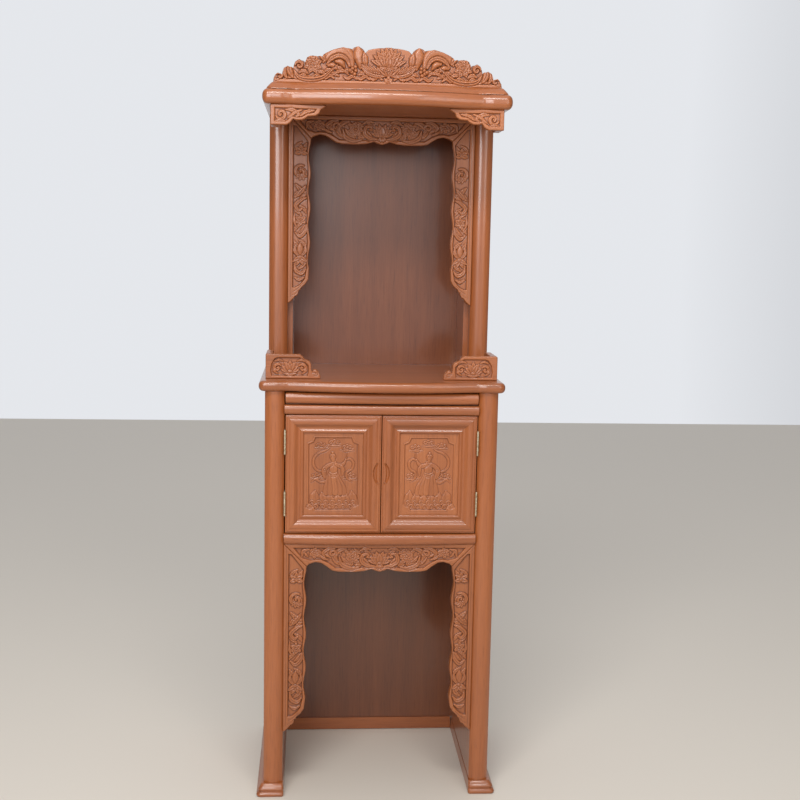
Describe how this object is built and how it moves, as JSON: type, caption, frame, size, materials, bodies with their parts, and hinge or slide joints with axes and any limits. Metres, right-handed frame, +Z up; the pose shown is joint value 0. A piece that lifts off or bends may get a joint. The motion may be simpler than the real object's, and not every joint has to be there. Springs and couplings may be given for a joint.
{
  "type": "household altar cabinet",
  "caption": "Tall wooden household altar cabinet: open niche with carved frame and crest over a tabletop, pull-out shelf, cupboard with a pair of carved doors, open knee space below.",
  "frame": {"origin": "on the floor, under the middle of the footprint box", "axes": "+Z up, the front with the doors faces -Y, +X to the viewer's right when facing the front"},
  "size_m": [0.61, 0.49, 1.86],
  "materials": {
    "lacquered_wood": "red-brown hardwood under semi-gloss lacquer",
    "carved_wood": "carved red-brown hardwood, satin lacquer, darker in the hollows",
    "board_wood": "dark red-brown board, low gloss",
    "hinge_metal": "pale worn brass"
  },
  "bodies": {
    "carcass": {"foot_left": "lacquered_wood", "leg_front_left": "lacquered_wood", "leg_rear_left": "lacquered_wood", "pillar_left": "lacquered_wood", "rear_post_left": "lacquered_wood", "side_panel_lower_left": "lacquered_wood", "side_panel_upper_left": "lacquered_wood", "foot_right": "lacquered_wood", "leg_front_right": "lacquered_wood", "leg_rear_right": "lacquered_wood", "pillar_right": "lacquered_wood", "rear_post_right": "lacquered_wood", "side_panel_lower_right": "lacquered_wood", "side_panel_upper_right": "lacquered_wood", "back_rail_bottom": "lacquered_wood", "rail_over_doors": "lacquered_wood", "rail_under_doors": "lacquered_wood", "tabletop": "lacquered_wood", "roof": "lacquered_wood", "roof_cove": "lacquered_wood", "back_panel_lower": "board_wood", "back_panel_upper": "board_wood", "cabinet_floor": "board_wood", "cabinet_top": "board_wood", "lower_apron": "carved_wood", "upper_apron": "carved_wood", "crest": "carved_wood", "lower_frame_left": "carved_wood", "upper_frame_left": "carved_wood", "bracket_front_left": "carved_wood", "bracket_side_left": "carved_wood", "guard_front_left": "carved_wood", "guard_side_left": "carved_wood", "hinge_left_upper_leg_leaf": "hinge_metal", "hinge_left_lower_leg_leaf": "hinge_metal", "lower_frame_right": "carved_wood", "upper_frame_right": "carved_wood", "bracket_front_right": "carved_wood", "bracket_side_right": "carved_wood", "guard_front_right": "carved_wood", "guard_side_right": "carved_wood", "hinge_right_upper_leg_leaf": "hinge_metal", "hinge_right_lower_leg_leaf": "hinge_metal"},
    "door_left": {"door_left_stile_hinge": "lacquered_wood", "door_left_stile_meeting": "lacquered_wood", "door_left_rail_bottom": "lacquered_wood", "door_left_rail_top": "lacquered_wood", "door_left_panel": "carved_wood", "hinge_left_upper_door_leaf": "hinge_metal", "hinge_left_lower_door_leaf": "hinge_metal"},
    "door_right": {"door_right_stile_hinge": "lacquered_wood", "door_right_stile_meeting": "lacquered_wood", "door_right_rail_bottom": "lacquered_wood", "door_right_rail_top": "lacquered_wood", "door_right_panel": "carved_wood", "hinge_right_upper_door_leaf": "hinge_metal", "hinge_right_lower_door_leaf": "hinge_metal"},
    "shelf": {"shelf_front": "lacquered_wood", "shelf_board": "lacquered_wood"}
  },
  "joints": [
    {"name": "door_left_hinge", "type": "hinge", "parent": "carcass", "child": "door_left", "pos_m": [-0.23855, -0.1826, 0.8325], "axis": [0, 0, -1], "range_deg": [0, 95]},
    {"name": "door_right_hinge", "type": "hinge", "parent": "carcass", "child": "door_right", "pos_m": [0.23855, -0.1826, 0.8325], "axis": [0, 0, 1], "range_deg": [0, 95]},
    {"name": "shelf_slide", "type": "slide", "parent": "carcass", "child": "shelf", "axis": [0, -1, 0], "range_m": [0, 0.25]}
  ]
}
